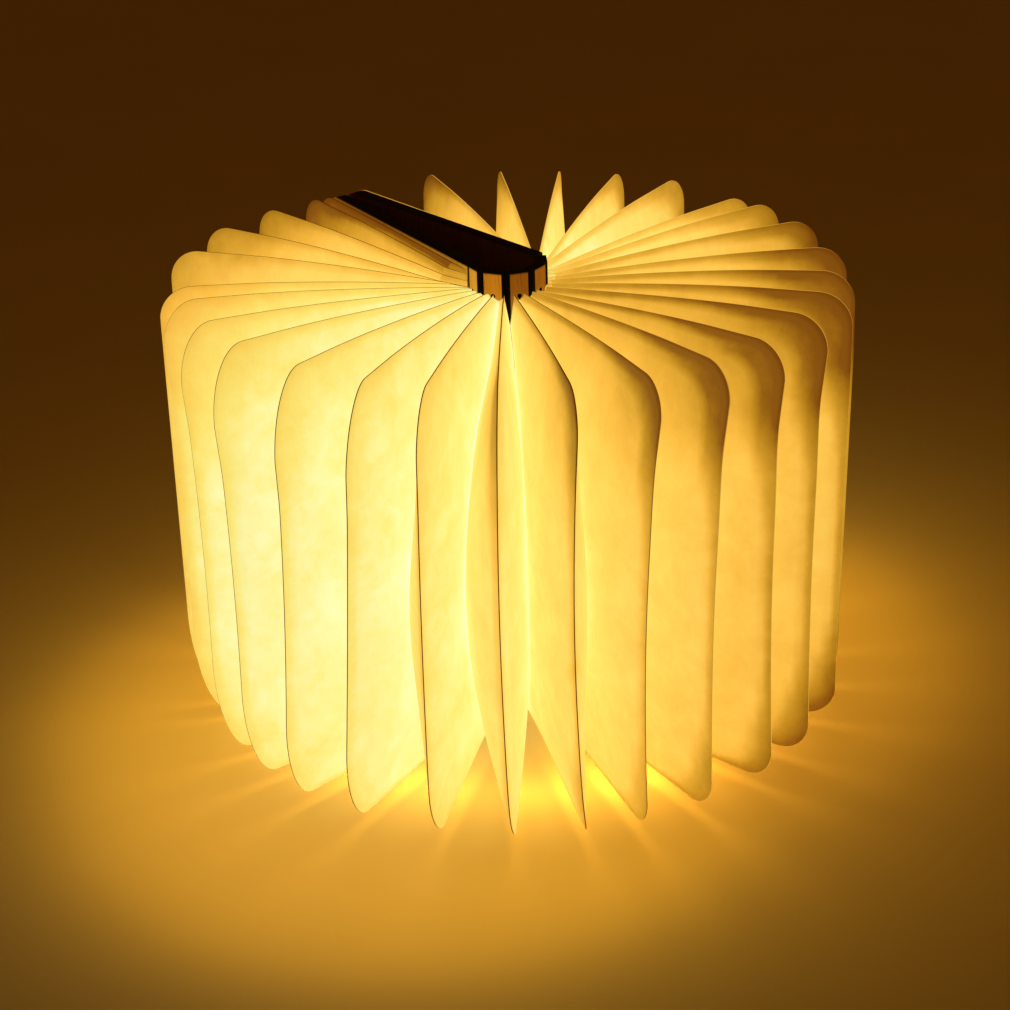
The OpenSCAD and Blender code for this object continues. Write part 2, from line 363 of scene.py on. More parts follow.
# line where two neighbouring leaves part, s against z, for a pair whose leaves spread normally
PART = np.array([
    (-1.0, 115.4), (-0.5, 113.0), (0.03, 109.0), (0.22, 103.4), (0.46, 96.5), (0.68, 88.5), (0.86, 78.5), (0.965, 68.0),
    (1.0, 58.0), (0.985, 48.0), (0.92, 38.0), (0.80, 28.0), (0.63, 19.0), (0.42, 12.0), (0.2, 7.6), (0.03, 5.4),
])
PAIR_DEPTH = {10: 47.0, 11: 43.0, 12: 35.0, 13: 42.0, 14: 41.0, 0: 12.0}


def part_curve(i, at):
    """s, z of the line between leaf i and leaf i + 1."""
    deep = PAIR_DEPTH.get(i, 40.0 + 1.5 * jit[i, 1])
    ext = min(EXT[i], EXT[i + 1])
    drop = {12: 6.0}.get(i, 0.0)
    p = []
    for f, z in PART:
        s = f * deep if f > 0 else f * ext
        p.append((s, z - drop * max(0.0, (z - 90) / 24)))
    p = np.array(p)
    # smooth it
    d = np.r_[0, np.cumsum(np.hypot(*np.diff(p, axis=0).T))]
    t = np.linspace(0, d[-1], 240)
    q = np.column_stack([np.interp(t, d, p[:, k]) for k in range(2)])
    for _ in range(60):
        q[1:-1] = 0.25 * q[:-2] + 0.5 * q[1:-1] + 0.25 * q[2:]
    return resample(q, at)


def fold_s(z, ext):
    """s of the inner fold at height z."""
    t = np.clip((z - 5.0) / 106.0, 0, 1)
    return -ext * np.clip((z - 101.5) / 11.0, 0, 1) + 13.0 * np.sin(np.pi * t) ** 0.8


ROWS, INNER = 104, 3


SHIFT = {10: -1.3, 11: -2.8, 12: -0.4, 13: 1.0}


def pair_mid(i, j, s, z):
    """Points between leaves i and j, abreast of both."""
    a, b = plane(i, s, z), plane(j, s, z)
    m = 0.5 * (a + b)
    lo = min(i, j)
    if lo in SHIFT:
        n = N[lo] + N[lo + 1]
        n = n / np.linalg.norm(n)
        amount = SHIFT[lo] * np.clip(np.sin(np.pi * np.clip((z - 3) / 109, 0, 1)), 0, 1) ** 0.6 * np.clip(s / 22, 0, 1)
        m[:, :2] += amount[:, None] * n[None, :]
    return m


def cover_face(side, s, z, i):
    """Points just off the cover's lining, abreast of leaf i's points."""
    p = plane(i, s, z)
    n = N[i] * side
    gap = {0: 0.9, 29: 0.35}[i]
    p[:, :2] += n[None, :] * gap
    return p


# How the lit lamp's light falls off round the fan. Each line is a mean and one or two soft waves round the
# fan; UP is the face turned to the next leaf number and DOWN the face turned to the one before.
MID_UP, TOP_UP, FOOT_UP = (0.83, -0.01, 0.08, -0.13, -0.08), (0.75, -0.04, 0.09, -0.12, -0.03), (0.73, -0.10, 0.13, -0.13, -0.04)
MID_DOWN, TOP_DOWN, FOOT_DOWN = (0.77, 0.07, 0.01, -0.01, -0.09), (0.67, 0.12, -0.02, -0.15, -0.12), (0.60, 0.02, 0.14, 0.03, -0.13)
RIM_UP, RIM_DOWN = (0.14, 0.06, -0.01), (0.29, -0.05, -0.18, 0.01, -0.06)      # how strongly the glued rim stays unlit
TIP_UP, TIP_DOWN = (0.14, 0.15, -0.07), (0.10, -0.06, -0.06)      # how much dimmer the top outer corner is


def round_fan(i, waves):
    u = 2 * math.pi * (i + 0.5) / NL
    e = waves[0]
    for k in range(1, (len(waves) - 1) // 2 + 1):
        e += waves[2 * k - 1] * math.cos(k * u) + waves[2 * k] * math.sin(k * u)
    return max(e, 0.0)


def face_light(i, side):
    """Light on a face at its middle, along its top edge and near its foot; a face that looks at a cover gets little."""
    shut = min(1.0, 0.05 + 0.45 * (i if side < 0 else i + 0.4))
    return [shut * round_fan(i, w) for w in ((MID_UP, TOP_UP, FOOT_UP) if side > 0 else (MID_DOWN, TOP_DOWN, FOOT_DOWN))]


def bump(f, at, width):
    return np.exp(-((f - at) / width) ** 2)


def glow_level(i, side, s, z, depth, dv, share):
    """Glow of leaf i's face: side +1 faces leaf i + 1; depth is the distance in from the glued edge and dv the distance to the next leaf (mm)."""
    mid, top, foot = face_light(i, side)
    near_top = np.exp(-np.clip(Z1 - z, 0, None) / 12.0)
    near_foot = np.exp(-np.clip(z - Z0, 0, None) / 13.0)
    e = mid + (top - mid) * near_top + (foot - mid) * near_foot
    out, up = np.clip((s - 28) / 28.0, 0, 1), np.clip((z - 84) / 24.0, 0, 1)
    e = e - round_fan(i, TIP_UP if side > 0 else TIP_DOWN) * out * out * (3 - 2 * out) * up * up * (3 - 2 * up)
    # nearer the light bar and the line between two leaves the paper is brighter
    e = e + 0.09 * np.exp(-np.clip(s + 8, 0, None) / 18.0) * np.clip(depth / 5.0, 0, 1)
    shade = np.clip(mid * 1.2, 0.3, 1)
    halo = 0.11 + (0.16 * math.exp(-((i - 16) / 2.5) ** 2) if side < 0 else 0.0)
    e = e + shade * (halo * np.exp(-dv / 9.0) + 0.17 * np.exp(-dv / 1.1)) - 0.035
    f = share
    # the unlit rim runs from the hub round to the foot: widest and strongest at the two outer corners
    wide = 2.6 + 7.6 * bump(f, 0.32, 0.09) + 5.6 * bump(f, 0.73, 0.055)
    deep = 0.56 + 0.44 * bump(f, 0.32, 0.10) + (0.06 if side > 0 else 0.32) * bump(f, 0.73, 0.06) - 0.5 * np.clip((f - 0.76) / 0.16, 0, 1)
    wide = wide * (1 + 0.12 * np.sin(9 * f + 6 * jit[i, 4]))
    x = np.clip((depth / wide - 0.45) / 0.75, 0, 1)
    e = e - round_fan(i, RIM_UP if side > 0 else RIM_DOWN) * deep * (1 - x * x * (3 - 2 * x))
    e = e + 0.015 * jit[i, 2] + 0.012 * jit[i, 3] * np.sin(z / 19.0 + 3 * jit[i, 4])
    return np.clip(e, 0.02, 1.2)


def build_leaf(i, mats):
    ks = np.array([0.0, 0.035, 0.085, 0.15, 0.23, 0.32, 0.42, 0.53, 0.64, 0.75, 0.85, 0.93, 0.975, 1.0])
    half = 0.13          # half the thickness of the two glued sheets
    wall = 0.12
    seam, share = seam_curve(i, ROWS)
    A = plane(i, seam[:, 0], seam[:, 1])
    sheets = {}
    for side in (1, -1):
        j = i + side
        if 0 <= j < NL:
            pc = part_curve(min(i, j), share)
            V = pair_mid(i, j, pc[:, 0], pc[:, 1])
            ext = min(EXT[i], EXT[j])
            fs = np.minimum(fold_s(pc[:, 1], ext), pc[:, 0] - 0.4)
            F = pair_mid(i, j, fs, pc[:, 1])
        else:
            pc = part_curve(0 if i == 0 else NL - 2, share)
            pc[:, 0] = np.where(pc[:, 0] > 0, pc[:, 0] * 0.3, pc[:, 0])
            V = cover_face(side, pc[:, 0], pc[:, 1], i)
            fs = np.minimum(fold_s(pc[:, 1], EXT[i]) * 0.4, pc[:, 0] - 0.4)
            F = cover_face(side, fs, pc[:, 1], i)
        n3 = np.array([N[i][0], N[i][1], 0.0]) * side
        # keep the two facing sheets of a pair a hair apart
        V = V - n3[None, :] * 0.05
        F = F - n3[None, :] * 0.05
        wv = np.sum((V - plane(i, pc[:, 0], pc[:, 1])) * n3[None, :], axis=1)
        rows = share
        puff = 1.0 + 0.55 * np.sin(np.pi * np.clip((rows - 0.12) / 0.80, 0, 1)) ** 1.2
        grid, depth, kk, szs = [], [], [], []
        length = np.linalg.norm(V - A, axis=1)
        for c, k in enumerate(ks):
            P = A * (1 - k) + V * k
            g = 1 - (1 - k) ** puff
            P = P + n3[None, :] * (wv * (g - k))[:, None]
            # glued band: the sheets lie together for the first 2 mm
            d = k * length
            hold = np.clip(d / 2.0, 0, 1)
            hold = hold * hold * (3 - 2 * hold)
            wcur = np.sum((P - plane(i, seam[:, 0] * (1 - k) + pc[:, 0] * k, seam[:, 1] * (1 - k) + pc[:, 1] * k)) * n3[None, :], axis=1)
            tgt = np.maximum(wcur * hold, half)
            if i in (0, NL - 1) and (j < 0 or j >= NL):
                tgt = np.maximum(wcur, half)
            P = P + n3[None, :] * (tgt - wcur)[:, None]
            grid.append(P)
            depth.append(d)
            kk.append(np.full(ROWS, k))
            szs.append((seam[:, 0] * (1 - k) + pc[:, 0] * k, seam[:, 1] * (1 - k) + pc[:, 1] * k))
        for c in range(1, INNER + 1):
            f = c / INNER
            P = V * (1 - f) + F * f
            grid.append(P)
            depth.append(length + np.linalg.norm(P - V, axis=1))
            kk.append(np.full(ROWS, 1.0))
            szs.append((pc[:, 0] * (1 - f) + fs * f, pc[:, 1]))
        sheets[side] = (grid, depth, kk, szs, n3)

    verts, glow, band = [], [], []

    def add(P, g, b):
        start = len(verts)
        verts.extend(P)
        glow.extend(g)
        band.extend(b)
        return np.arange(start, start + len(P))

    ncol = len(ks) + INNER
    outer, inner = {}, {}
    for side in (1, -1):
        grid, depth, kk, szs, n3 = sheets[side]
        outer[side] = []
        for c in range(ncol):
            g = glow_level(i, side, szs[c][0], szs[c][1], depth[c], np.clip(depth[len(ks) - 1] - depth[c], 0, None), share)
            # band: 1 along the glued edge, where the paper's glow gets painted shade
            b = 1 - np.clip((depth[c] - 1.3) / 1.2, 0, 1)
            outer[side].append(add(grid[c], g, b))
    C1 = 2
    apex = add(0.5 * (sheets[1][0][C1] + sheets[-1][0][C1]), np.full(ROWS, 0.9), np.zeros(ROWS))
    for side in (1, -1):
        grid, depth, kk, szs, n3 = sheets[side]
        inner[side] = [None] * ncol
        inner[side][C1] = apex
        for c in range(C1 + 1, ncol):
            off = np.full(ROWS, wall)
            w = np.sum((grid[c] - 0.5 * (sheets[1][0][C1] + sheets[-1][0][C1])) * n3[None, :], axis=1)
            P = grid[c] - n3[None, :] * np.minimum(off, 0.8 * np.maximum(np.abs(sheets[1][0][c] - sheets[-1][0][c]).max(axis=1) / 2, 0.05))[:, None]
            inner[side][c] = add(P, np.full(ROWS, 0.95), np.zeros(ROWS))
    faces, mat = [], []

    def quad(a, b, c, d, m):
        f = []
        for x in (a, b, c, d):
            if x not in f:
                f.append(int(x))
        if len(f) >= 3:
            faces.append(f)
            mat.append(m)

    for r in range(ROWS - 1):
        # glued cut edge
        a, b = outer[1][0], outer[-1][0]
        quad(a[r], a[r + 1], b[r + 1], b[r], 1)
        for c in range(ncol - 1):
            o = outer[1]
            quad(o[c][r], o[c + 1][r], o[c + 1][r + 1], o[c][r + 1], 0)
            o = outer[-1]
            quad(o[c][r + 1], o[c + 1][r + 1], o[c + 1][r], o[c][r], 0)
        for c in range(C1, ncol - 1):
            o = inner[1]
            quad(o[c][r + 1], o[c + 1][r + 1], o[c + 1][r], o[c][r], 0)
            o = inner[-1]
            quad(o[c][r], o[c + 1][r], o[c + 1][r + 1], o[c][r + 1], 0)
        # fold rims
        o, n_ = outer[1][-1], inner[1][-1]
        quad(o[r + 1], o[r], n_[r], n_[r + 1], 0)
        o, n_ = outer[-1][-1], inner[-1][-1]
        quad(o[r], o[r + 1], n_[r + 1], n_[r], 0)
    for r, flip in ((0, False), (ROWS - 1, True)):
        for side in (1, -1):
            o, n_ = outer[side], inner[side]
            for c in range(C1, ncol - 1):
                f = (n_[c][r], n_[c + 1][r], o[c + 1][r], o[c][r])
                if (side < 0) != flip:
                    f = f[::-1]
                quad(*f, 0)
        loop = [outer[1][c][r] for c in range(C1, -1, -1)] + [outer[-1][c][r] for c in range(0, C1 + 1)] + [apex[r]]
        if flip:
            loop = loop[::-1]
        faces.append([int(x) for x in loop])
        mat.append(1)
    V = np.array(verts)
    V[:, 1] += HUB_Y
    V *= MM
    me = bpy.data.meshes.new("paper_leaf_%02d" % (i + 1))
    me.from_pydata([tuple(v) for v in V], [], faces)
    bm = bmesh.new()
    bm.from_mesh(me)
    if bm.calc_volume(signed=True) < 0:
        bmesh.ops.reverse_faces(bm, faces=bm.faces)
        bm.to_mesh(me)
    bm.free()
    me.update()
    # lit edge: on the leaves at the back and right, and under every leaf
    lit = np.clip((i - 13.5) / 2.5, 0, 1) + (1 - np.clip((i - 13.5) / 2.5, 0, 1)) * np.clip((share - 0.735) / 0.04, 0, 1)
    rim = np.tile(lit, len(verts) // ROWS)
    for name, vals in (("glow", glow), ("band", band), ("rim", rim)):
        at = me.attributes.new(name, "FLOAT", "POINT")
        at.data.foreach_set("value", np.array(vals, np.float32))
    me.polygons.foreach_set("material_index", np.array(mat, np.int32))
    me.polygons.foreach_set("use_smooth", np.array([m == 0 for m in mat], bool))
    for m in mats:
        me.materials.append(m)
    me.update()
    ob = bpy.data.objects.new("leaf_%02d_paper" % (i + 1), me)
    scene.collection.objects.link(ob)
    return ob


# ---------------------------------------------------------------- inner ends of the leaves at the hub
FACE_OUT = 10.24                      # hub axis to the slats' leaf side (mm)
CORNER_OUT = FACE_OUT / math.cos(math.radians(18.95))
BOARD_OF = ["spine_slat_2", "spine_slat_1", "left_cover"], ["spine_slat_3", "spine_slat_4", "right_cover"]
TAIL = {  # how far along the cover from its hinge the leaf meets it (mm)
    0: 5.9, 1: 5.7, 2: 5.5, 3: 5.4, 4: 5.2, 5: 4.9, 6: 4.6,
    21: 1.0, 22: 1.8, 23: 2.6, 24: 3.5, 25: 4.4, 26: 5.3, 27: 6.2, 28: 7.1, 29: 8.0,
}


def board_normal(side, k):
    a = math.radians(18.95 + 37.9 * k)
    return np.array([side * math.sin(a), -math.cos(a)])


def hub_point(i):
    """Where leaf i's top edge meets the hub."""
    if i in TAIL:
        side = -1 if i < 15 else 1
        a = math.radians(75.8)
        n = board_normal(side, 2)
        along = np.array([-side * math.sin(math.radians(4.75)), math.cos(math.radians(4.75))])
        return np.array([side * CORNER_OUT * math.sin(a), -CORNER_OUT * math.cos(a)]) + along * TAIL[i] + n * 0.3
    s = -2.0
    while max(float((Q[i] + s * D[i]) @ board_normal(sd, k)) for sd in (-1, 1) for k in (0, 1, 2)) > FACE_OUT + 0.2:
        s -= 0.02
    return Q[i] + s * D[i]


HUB = [hub_point(i) for i in range(NL)]


def build_tail(i, mats):
    """The short run of folded paper between leaf i and the hub, filled down to the light bar's top."""
    E = plane(i, [-EXT[i]], [118.0])[0][:2]
    H = HUB[i]
    z_e = float(ridge_z(i, -EXT[i]))
    z_h = {0: 121.1, 1: 119.9, 2: 118.1, 29: 120.2}.get(i, 116.6)
    M = 7
    T = np.linspace(0, 1, M)
    axis = (E - H) / np.linalg.norm(E - H)
    nrm = np.array([-axis[1], axis[0]])
    if nrm @ N[i] < 0:
        nrm = -nrm

    def line(j):
        """Middle line between leaf i and leaf j, hub to leaf."""
        if 0 <= j < NL:
            Ej = plane(j, [-min(EXT[i], EXT[j])], [116.0])[0][:2]
            Ei = plane(i, [-min(EXT[i], EXT[j])], [116.0])[0][:2]
            return 0.5 * (H + HUB[j]), 0.5 * (Ei + Ej)
        d = N[i] * (1 if j >= NL else -1)
        return H + d * 0.12, E + d * 0.5

    secs, lev = [], []
    for t in T:
        ridge = H * (1 - t) + E * t
        zr = z_h * (1 - t) + z_e * t
        ring = []
        for side in (1, -1):
            a, b = line(i + side)
            v = a * (1 - t) + b * t
            off = v - ridge
            d = off @ (nrm * side)
            off = off * max(0.0, 1 - 0.04 / max(np.linalg.norm(off), 1e-6)) if d > 0.02 else nrm * side * 0.05
            ring.append((ridge, off, zr, side))
        (r, o1, zr, _), (_, o2, _, _) = ring
        zv = zr - 1.0
        sec = [
            (*(r + nrm * min(0.13, 0.5 * np.linalg.norm(o1))), zr), (*(r + o1 * 0.55), zr - 0.22), (*(r + o1), zv), (*(r + o1), 103.0),
            (*(r + o2), 103.0), (*(r + o2), zv), (*(r + o2 * 0.55), zr - 0.22), (*(r - nrm * min(0.13, 0.5 * np.linalg.norm(o2))), zr),
        ]
        secs.append(sec)
        up_l, dn_l = face_light(i, 1)[1], face_light(i, -1)[1]
        if i < 3:
            up_l, dn_l = 0.6 * up_l, 0.6 * dn_l
        deep = min(0.7, up_l + 0.05) if i < 4 else 0.7
        lev.append([up_l, up_l + 0.03, up_l + 0.10, deep, deep, dn_l + 0.10, dn_l + 0.03, dn_l])
    verts = [p for s in secs for p in s]
    glow = [g for s in lev for g in s]
    faces, mat = [], []
    K = 8
    for m in range(M - 1):
        for q in range(K):
            a, b = m * K + q, m * K + (q + 1) % K
            faces.append((a, b, b + K, a + K))
            mat.append(1 if q == K - 1 else 0)
    faces.append(tuple(range(K - 1, -1, -1)))
    faces.append(tuple((M - 1) * K + q for q in range(K)))
    mat += [0, 0]
    V = np.array(verts)
    V[:, 1] += HUB_Y
    me = bpy.data.meshes.new("leaf_%02d_tail" % (i + 1))
    me.from_pydata([tuple(v * MM) for v in V], [], faces)
    me.update()
    rim = [float(np.clip((i - 15) / 3.0, 0, 1)) * 0.5] * len(glow)
    for name, vals in (("glow", glow), ("band", [0.0] * len(glow)), ("rim", rim)):
        me.attributes.new(name, "FLOAT", "POINT").data.foreach_set("value", np.array(vals, np.float32))
    me.polygons.foreach_set("material_index", np.array(mat, np.int32))
    for m in mats:
        me.materials.append(m)
    bm = bmesh.new()
    bm.from_mesh(me)
    bmesh.ops.recalc_face_normals(bm, faces=bm.faces)
    bm.to_mesh(me)
    bm.free()
    me.update()
    ob = bpy.data.objects.new("leaf_%02d_tail" % (i + 1), me)
    scene.collection.objects.link(ob)
    return ob


paper, cut_edge = paper_material(), seam_material()
for i in range(NL):
    body = "leaf_%02d" % (i + 1)
    ob = build_leaf(i, [paper, cut_edge])
    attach(ob, body)
    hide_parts("paper_leaf_%02d" % (i + 1))
    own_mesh(ob)
    # the tail stays on its board of the spine and rides with it as the book shuts
    if 11 <= i <= 17:
        continue                     # these reach the spine themselves
    side = -1 if HUB[i][0] < 0 else 1
    turned = math.degrees(math.atan2(abs(HUB[i][0]), -HUB[i][1]))
    k = 0 if turned < 37.9 else 1 if turned < 75.8 else 2
    board = BOARD_OF[0 if side < 0 else 1][k]
    n = board_normal(side, k)
    ob = build_tail(i, [paper, cut_edge])
    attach(ob, board)
    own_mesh(ob)


# ---------------------------------------------------------------- wood
def wood_material(name, across, along, lit, kerf=None):
    """across: unit vector through the board; along: unit vector along the board (row frame)."""
    k = Mat(name)
    tc = k.node("ShaderNodeTexCoord")
    facing = k.math("ABSOLUTE", k.vmath("DOT_PRODUCT", tc.outputs["Normal"], (*across, 0)))
    face = k.math("GREATER_THAN", facing, 0.9)
    a = k.vmath("DOT_PRODUCT", tc.outputs["Object"], (*along, 0))
    sep = k.node("ShaderNodeSeparateXYZ")
    k.link(tc.outputs["Object"], sep.inputs[0])
    comb = k.node("ShaderNodeCombineXYZ")
    k.link(a, comb.inputs["X"])
    k.link(sep.outputs["Z"], comb.inputs["Z"])
    mp = k.node("ShaderNodeMapping")
    mp.inputs["Scale"].default_value = (620, 1, 26)
    k.link(comb.outputs[0], mp.inputs["Vector"])
    grain = k.noise(mp.outputs["Vector"], 1.0, 5.0, 0.62, 0.35)
    mp2 = k.node("ShaderNodeMapping")
    mp2.inputs["Scale"].default_value = (90, 1, 7)
    k.link(comb.outputs[0], mp2.inputs["Vector"])
    bandn = k.noise(mp2.outputs["Vector"], 1.0, 2.0, 0.5, 0.6)
    mp3 = k.node("ShaderNodeMapping")
    mp3.inputs["Scale"].default_value = (2600, 1, 120)
    k.link(comb.outputs[0], mp3.inputs["Vector"])
    pore = k.noise(mp3.outputs["Vector"], 1.0, 2.0, 0.6, 0.1)
    tone = k.math("MULTIPLY_ADD", grain, 0.6, k.math("MULTIPLY", bandn, 0.4))
    wood = k.ramp(tone, [(0.30, (0.105, 0.045, 0.016)), (0.50, (0.170, 0.078, 0.029)), (0.70, (0.250, 0.125, 0.050))])
    pits = k.ramp(pore, [(0.30, (0.45, 0.45, 0.45)), (0.42, (1, 1, 1))])
    wood = k.mix(1.0, wood, pits, "MULTIPLY")
    # scorch bleeding over the face near the ends of the board
    zz = k.math("SUBTRACT", 0.061, k.math("ABSOLUTE", k.math("SUBTRACT", sep.outputs["Z"], 0.061)))
    ragged = k.math("MULTIPLY_ADD", grain, 0.0006, 0.0002)
    scorch = k.math("DIVIDE", zz, ragged, clamp=True)
    wood = k.mix(scorch, (0.035, 0.013, 0.004), wood)
    n = k.noise(tc.outputs["Object"], 700.0, 4.0, 0.6)
    char = k.ramp(n, [(0.3, (0.0022, 0.0014, 0.0011)), (0.7, (0.0075, 0.004, 0.0026))])
    # plies show faintly in the cut edge
    ply = k.vmath("DOT_PRODUCT", tc.outputs["Object"], (*across, 0))
    wv = k.math("SINE", k.math("MULTIPLY", ply, 2 * math.pi / 0.001))
    char = k.mix(k.math("MULTIPLY_ADD", wv, 0.08, 0.08), char, (0.022, 0.009, 0.004))
    if kerf:
        cut = k.math("LESS_THAN", k.math("ABSOLUTE", k.math("SUBTRACT", sep.outputs["Y"], kerf[0])), kerf[1])
        wood = k.mix(cut, wood, (0.010, 0.005, 0.003))
    col = k.mix(face, char, wood)
    k.link(col, k.p.inputs["Base Color"])
    # the lamp's own light on the side that faces the leaves
    inner = k.math("LESS_THAN", k.vmath("DOT_PRODUCT", tc.outputs["Normal"], (*across, 0)), -0.9)
    warm = k.mix(tone, tuple(0.80 * c for c in lit), lit)
    warm = k.mix(1.0, warm, pits, "MULTIPLY")
    away = k.vmath("DOT_PRODUCT", tc.outputs["Object"], (0, 1, 0))
    fade = k.ramp(k.math("DIVIDE", away, 0.05, clamp=True), [(0.0, (1, 1, 1)), (0.25, (0.55, 0.5, 0.5)), (1.0, (0.30, 0.24, 0.24))])
    warm = k.mix(1.0, warm, fade, "MULTIPLY")
    if kerf:
        scorch = k.math("MULTIPLY", scorch, k.math("SUBTRACT", 1.0, cut))
    k.link(k.mix(k.math("MULTIPLY", inner, scorch), (0.0, 0.0, 0.0), warm), k.p.inputs["Emission Color"])
    k.p.inputs["Emission Strength"].default_value = 1.0
    k.m.cycles.emission_sampling = "NONE"
    k.link(k.math("MULTIPLY_ADD", face, -0.22, 0.78), k.p.inputs["Roughness"])
    k.p.inputs["Specular IOR Level"].default_value = 0.3
    k.bump(k.math("ADD", grain, k.math("MULTIPLY", pore, 0.7)), 0.35, 0.00012)
    return k.m


TURN = 37.9


def board_axes(k, side):
    a = math.radians(TURN / 2 + TURN * k)
    return (side * -math.sin(a), math.cos(a)), (side * math.cos(a), math.sin(a))


for node, k, side, lit in (
    ("spine_slat_3", 0, 1, (0.24, 0.068, 0.002)), ("spine_slat_4", 1, 1, (0.20, 0.06, 0.002)), ("right_cover", 2, 1, (0.30, 0.11, 0.004)),
    ("spine_slat_2", 0, -1, (0.19, 0.050, 0.001)), ("spine_slat_1", 1, -1, (0.46, 0.150, 0.002)), ("left_cover", 2, -1, (0.66, 0.30, 0.02)),
):
    across, along = board_axes(k, side)
    o = nodes[node]
    o.data.materials.clear()
    o.data.materials.append(wood_material("wood_" + node, across, along, lit, (0.0048, 0.00045) if node == "left_cover" else None))


# ---------------------------------------------------------------- other CAD nodes
def lining_material():
    k = Mat("cover_lining")
    at = k.coords()
    cloud = k.noise(at, 90.0, 4.0, 0.55)
    fib = k.noise(k.coords((1, 1, 0.3)), 1500.0, 3.0, 0.6)
    col = k.ramp(k.math("MULTIPLY_ADD", cloud, 0.6, k.math("MULTIPLY", fib, 0.4)), [(0.3, (0.42, 0.27, 0.11)), (0.7, (0.56, 0.40, 0.19))])
    k.link(col, k.p.inputs["Base Color"])
    k.p.inputs["Roughness"].default_value = 0.7
    # painted light: the lamp's glow on the lining is set as the lining's own emission
    em = k.ramp(cloud, [(0.2, srgb(96, 58, 10)), (0.8, srgb(132, 84, 18))])
    k.link(em, k.p.inputs["Emission Color"])
    k.p.inputs["Emission Strength"].default_value = 0.8
    k.m.cycles.emission_sampling = "NONE"
    k.bump(fib, 0.2, 0.00006)
    return k.m


def plain_material(name, lo, hi, rough, metal=0.0, scale=400.0, bump=0.1, stretch=(1, 1, 1), emit=None, strength=0.0, spec=0.5, trans=0.0):
    k = Mat(name)
    n = k.noise(k.coords(stretch), scale, 4.0, 0.6)
    col = k.ramp(n, [(0.3, lo), (0.7, hi)])
    k.link(col, k.p.inputs["Base Color"])
    k.link(k.math("MULTIPLY_ADD", n, 0.12, rough - 0.06), k.p.inputs["Roughness"])
    k.p.inputs["Metallic"].default_value = metal
    k.p.inputs["Specular IOR Level"].default_value = spec
    if emit:
        k.link(k.ramp(n, [(0.2, tuple(c * 0.9 for c in emit)), (0.8, emit)]), k.p.inputs["Emission Color"])
        k.p.inputs["Emission Strength"].default_value = strength
    k.bump(n, bump, 0.00005)
    return k.m


finish = {
    "lining": lining_material(),
    "nickel": plain_material("magnet_nickel", (0.50, 0.50, 0.51), (0.62, 0.62, 0.63), 0.24, 1.0, 900, 0.05),
    "shell": plain_material("bar_shell", (0.74, 0.73, 0.70), (0.82, 0.81, 0.78), 0.46, 0.0, 1600, 0.12),
    "lens": plain_material("bar_diffuser", (0.80, 0.78, 0.70), (0.86, 0.84, 0.76), 0.40, 0.0, 300, 0.03, emit=(1.0, 0.66, 0.28), strength=3.0),
    "screw": plain_material("screw_steel", (0.42, 0.42, 0.43), (0.58, 0.58, 0.59), 0.30, 1.0, 1500, 0.1, (1, 1, 6)),
    "board": plain_material("led_board_white", (0.78, 0.78, 0.75), (0.86, 0.86, 0.84), 0.35, 0.0, 700, 0.05),
    "led": plain_material("led_phosphor", (0.85, 0.68, 0.20), (0.95, 0.80, 0.32), 0.30, 0.0, 900, 0.05, emit=(1.0, 0.70, 0.30), strength=6.0),
    "pouch": plain_material("battery_pouch", (0.30, 0.34, 0.40), (0.42, 0.46, 0.53), 0.30, 0.6, 220, 0.4),
    "foam": plain_material("foam_pad", (0.015, 0.015, 0.015), (0.05, 0.05, 0.05), 0.92, 0.0, 2600, 0.6),
    "green": plain_material("board_green", (0.012, 0.10, 0.035), (0.03, 0.17, 0.06), 0.34, 0.0, 600, 0.1),
    "tin": plain_material("socket_steel", (0.46, 0.46, 0.47), (0.62, 0.62, 0.63), 0.28, 1.0, 1200, 0.08, (1, 1, 4)),
    "chip": plain_material("chip_black", (0.012, 0.012, 0.013), (0.03, 0.03, 0.032), 0.55, 0.0, 2200, 0.15),
    "wire": plain_material("lead_insulation", (0.35, 0.03, 0.02), (0.48, 0.05, 0.03), 0.45, 0.0, 900, 0.05),
}
for node, f in {
    "left_end_paper": "lining", "right_end_paper": "lining", "left_cover_magnets": "nickel", "right_cover_magnets": "nickel",
    "switch_magnet": "nickel", "bar_housing": "shell", "bar_lens": "lens", "top_end_cap": "shell", "bottom_end_cap": "shell",
    "end_cap_screws": "screw", "led_board": "board", "leds": "led", "battery": "pouch", "battery_pad": "foam",
    "control_board": "green", "charge_socket": "tin", "charge_chips": "chip", "magnet_sensor": "chip",
    "battery_leads": "wire", "led_leads": "wire",
}.items():
    o = nodes[node]
    o.data.materials.clear()
    o.data.materials.append(finish[f])

# ---------------------------------------------------------------- stage
me = bpy.data.meshes.new("floor")
S = 6.0
me.from_pydata([(-S, -S, 0), (S, -S, 0), (S, S, 0), (-S, S, 0)], [], [(0, 1, 2, 3)])
floor = bpy.data.objects.new("floor", me)
scene.collection.objects.link(floor)
k = Mat("floor_plain")
n = k.noise(k.coords(), 14.0, 3.0)
k.link(k.ramp(n, [(0.3, (0.57, 0.46, 0.31)), (0.7, (0.60, 0.485, 0.33))]), k.p.inputs["Base Color"])
k.p.inputs["Roughness"].default_value = 0.6
k.p.inputs["Specular IOR Level"].default_value = 0.2
me.materials.append(k.m)

world = bpy.data.worlds.new("world")
scene.world = world
world.use_nodes = True
bg = world.node_tree.nodes["Background"]
bg.inputs["Color"].default_value = (1.0, 0.335, 0.014, 1)
bg.inputs["Strength"].default_value = 0.075


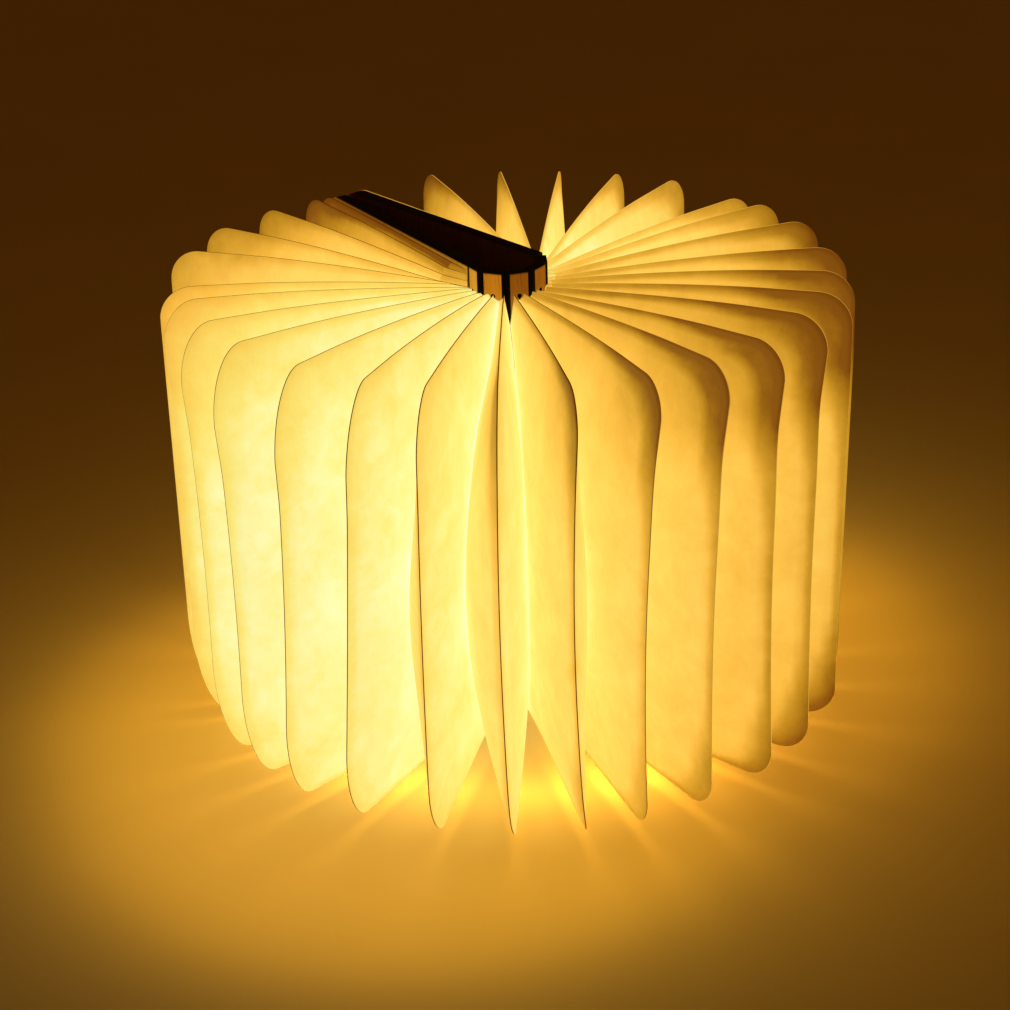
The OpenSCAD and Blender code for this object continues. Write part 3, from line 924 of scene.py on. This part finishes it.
def area(name, where, target, size, power, colour):
    d = bpy.data.lights.new(name, "AREA")
    d.shape = "SQUARE"
    d.size = size
    d.energy = power
    d.color = colour
    o = bpy.data.objects.new(name, d)
    scene.collection.objects.link(o)
    o.location = where
    o.rotation_euler = (Vector(target) - Vector(where)).to_track_quat("-Z", "Y").to_euler()
    return o


area("key", (-0.7, -0.7, 1.1), (0, 0, 0.05), 1.2, 0.24, (1.0, 0.46, 0.09))
area("fill", (0.9, -0.3, 1.0), (0, 0, 0.05), 1.2, 0.15, (1.0, 0.46, 0.09))

# the lit lamp's glow on the floor
only_floor = bpy.data.collections.new("lit_by_lamp")
only_floor.objects.link(floor)


def glow_light(where, watts, colour, leaf, radius=0.012, disk=0.0, shadow=False):
    """A light that falls on the floor only and moves with the leaf it shines out of; disk: radius of a round light facing down."""
    d = bpy.data.lights.new("lamp_glow", "AREA" if disk else "POINT")
    if disk:
        d.shape = "DISK"
        d.size = 2 * disk
    else:
        d.shadow_soft_size = radius
    d.energy = watts
    d.color = colour
    d.use_shadow = shadow
    o = bpy.data.objects.new("lamp_glow", d)
    scene.collection.objects.link(o)
    o.location = where
    o.visible_camera = False
    o.visible_glossy = False
    o.light_linking.receiver_collection = only_floor
    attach(o, "leaf_%02d" % (leaf + 1))


def leaf_towards(x, y):
    """The leaf that points most nearly from the spine to a place on the floor (m)."""
    v = np.array([x, y - HUB_Y * MM])
    return max(range(NL), key=lambda i: float(np.dot(D[i], v)))


# light through the paper, seen from further off: place, energy, colour
for x, y, z, s, c in (
    (0.080, 0.000, 0.055, 0.00092, (1.0, 0.47, 0.010)),
):
    glow_light((x, y, z), 64 * s, c, leaf_towards(x, y))
# the open foot of the lamp: place, radius, energy, colour
for x, y, z, r, s, c in (
    (-0.050, -0.020, 0.020, 0.088, 0.00345, (1.0, 0.52, 0.030)),
    (-0.045, 0.020, 0.020, 0.080, 0.00200, (1.0, 0.52, 0.035)),
    (0.030, 0.000, 0.020, 0.095, 0.00185, (1.0, 0.48, 0.020)),
):
    glow_light((x, y, z), 20.4 * s, c, leaf_towards(x, y), disk=r)
# each bright fold between two leaves sends a ray out over the floor
for i in range(NL - 1):
    q = pair_mid(i, i + 1, np.array([38.0]), np.array([12.0]))[0] * MM
    glow_light((q[0], q[1] + HUB_Y * MM, 0.012), 0.0135 * (1 + 0.30 * jit[i, 5]), (1.0, 0.50, 0.05), i, radius=0.003, shadow=True)

scene.view_settings.view_transform = "Standard"
scene.view_settings.look = "None"
scene.view_settings.exposure = 0
scene.view_settings.gamma = 1
